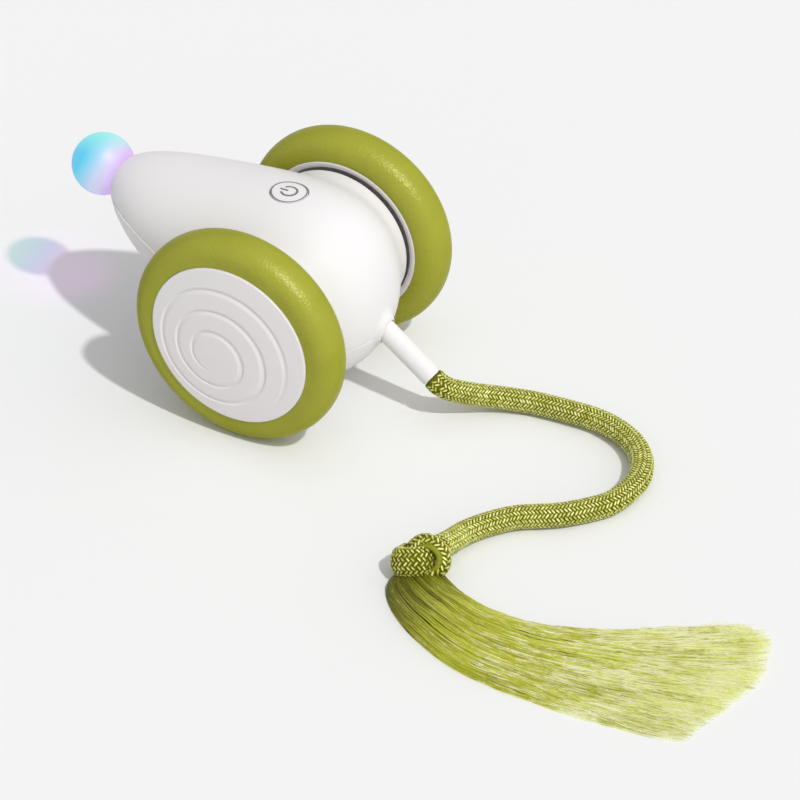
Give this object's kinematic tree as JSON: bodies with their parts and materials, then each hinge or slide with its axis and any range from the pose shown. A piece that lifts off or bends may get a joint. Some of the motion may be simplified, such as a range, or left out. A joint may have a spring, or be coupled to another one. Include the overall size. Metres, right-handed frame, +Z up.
{
  "type": "robotic mouse cat toy",
  "caption": "Teardrop body between driven wheels, with a lit globe nose and a cord tail that ends in a knot and a tassel; the wheels spin through gears and the top button presses.",
  "frame": {"origin": "on the floor, halfway between the front of the nose globe and the back of the tail tube, in the middle plane between the wheels", "axes": "+Z up, +X towards the nose, +Y towards the left wheel"},
  "size_m": [0.2317, 0.123, 0.06],
  "materials": {
    "shell_white": "satin moulded ABS, fine grain",
    "hub_white": "satin moulded ABS",
    "tyre_green": "matte silicone rubber, fine grain",
    "cord_green": "braided nylon cord",
    "tassel_green": "loose glossy fibre strands",
    "globe_frosted": "frosted translucent plastic, lit from inside",
    "bright_steel": "bright steel",
    "brass": "turned brass",
    "gear_nylon": "moulded nylon",
    "frame_grey": "moulded grey plastic",
    "board_green": "glass fibre board with solder resist",
    "chip_black": "black moulding",
    "cell_silver": "foil pouch",
    "light_lens": "clear epoxy lens",
    "wire_red": "insulated wire"
  },
  "bodies": {
    "chassis": {"battery_cell": "cell_silver", "battery_cradle": "frame_grey", "battery_wire_black": "chip_black", "battery_wire_red": "wire_red", "board_screw_1": "bright_steel", "board_screw_2": "bright_steel", "bottom_shell": "shell_white", "case_screw_1": "bright_steel", "case_screw_2": "bright_steel", "case_screw_3": "bright_steel", "charging_board": "board_green", "charging_socket": "bright_steel", "charging_wire": "chip_black", "controller_chip": "chip_black", "drive_frame": "frame_grey", "frame_screw_1": "bright_steel", "frame_screw_2": "bright_steel", "left_axle_bush": "brass", "left_idler_pin": "bright_steel", "left_motor": "bright_steel", "left_motor_wire": "wire_red", "light_wire": "wire_red", "main_board": "board_green", "nose_globe": "globe_frosted", "nose_light": "light_lens", "nose_light_board": "board_green", "right_axle_bush": "brass", "right_idler_pin": "bright_steel", "right_motor": "bright_steel", "right_motor_wire": "wire_red", "tact_switch_body": "frame_grey", "tail_cord": "cord_green", "tail_knot": "cord_green", "tail_tassel": "tassel_green", "tail_tube": "shell_white", "top_shell": "shell_white"},
    "left_wheel": {"left_axle": "bright_steel", "left_hub_screw": "bright_steel", "left_hubcap": "hub_white", "left_output_gear": "gear_nylon", "left_tyre": "tyre_green", "left_wheel_hub": "hub_white"},
    "right_wheel": {"right_axle": "bright_steel", "right_hub_screw": "bright_steel", "right_hubcap": "hub_white", "right_output_gear": "gear_nylon", "right_tyre": "tyre_green", "right_wheel_hub": "hub_white"},
    "left_idler": {"left_idler_gear": "gear_nylon"},
    "right_idler": {"right_idler_gear": "gear_nylon"},
    "left_motor_rotor": {"left_motor_pinion": "brass", "left_motor_shaft": "bright_steel"},
    "right_motor_rotor": {"right_motor_pinion": "brass", "right_motor_shaft": "bright_steel"},
    "button": {"power_button": "shell_white", "switch_plunger": "chip_black"}
  },
  "joints": [
    {"name": "left_wheel_spin", "type": "hinge", "parent": "chassis", "child": "left_wheel", "pos_m": [-0.01273, 0, 0.03], "axis": [0, 1, 0], "continuous": true},
    {"name": "left_idler_spin", "type": "hinge", "parent": "chassis", "child": "left_idler", "pos_m": [-0.00363, 0, 0.03525], "axis": [0, 1, 0], "continuous": true},
    {"name": "left_motor_spin", "type": "hinge", "parent": "chassis", "child": "left_motor_rotor", "pos_m": [0.00553, 0, 0.03192], "axis": [0, 1, 0], "continuous": true},
    {"name": "right_wheel_spin", "type": "hinge", "parent": "chassis", "child": "right_wheel", "pos_m": [-0.01273, 0, 0.03], "axis": [0, 1, 0], "continuous": true},
    {"name": "right_idler_spin", "type": "hinge", "parent": "chassis", "child": "right_idler", "pos_m": [-0.00363, 0, 0.03525], "axis": [0, 1, 0], "continuous": true},
    {"name": "right_motor_spin", "type": "hinge", "parent": "chassis", "child": "right_motor_rotor", "pos_m": [0.00553, 0, 0.03192], "axis": [0, 1, 0], "continuous": true},
    {"name": "button_press", "type": "slide", "parent": "chassis", "child": "button", "axis": [0, 0, -1], "range_m": [0, 0.0003], "stiffness_N_per_m": 800}
  ],
  "couplings": [
    {"joint": "left_idler_spin", "follows": "left_wheel_spin", "ratio": -3.2},
    {"joint": "left_motor_spin", "follows": "left_wheel_spin", "ratio": 10.667},
    {"joint": "right_idler_spin", "follows": "right_wheel_spin", "ratio": -3.2},
    {"joint": "right_motor_spin", "follows": "right_wheel_spin", "ratio": 10.667}
  ]
}
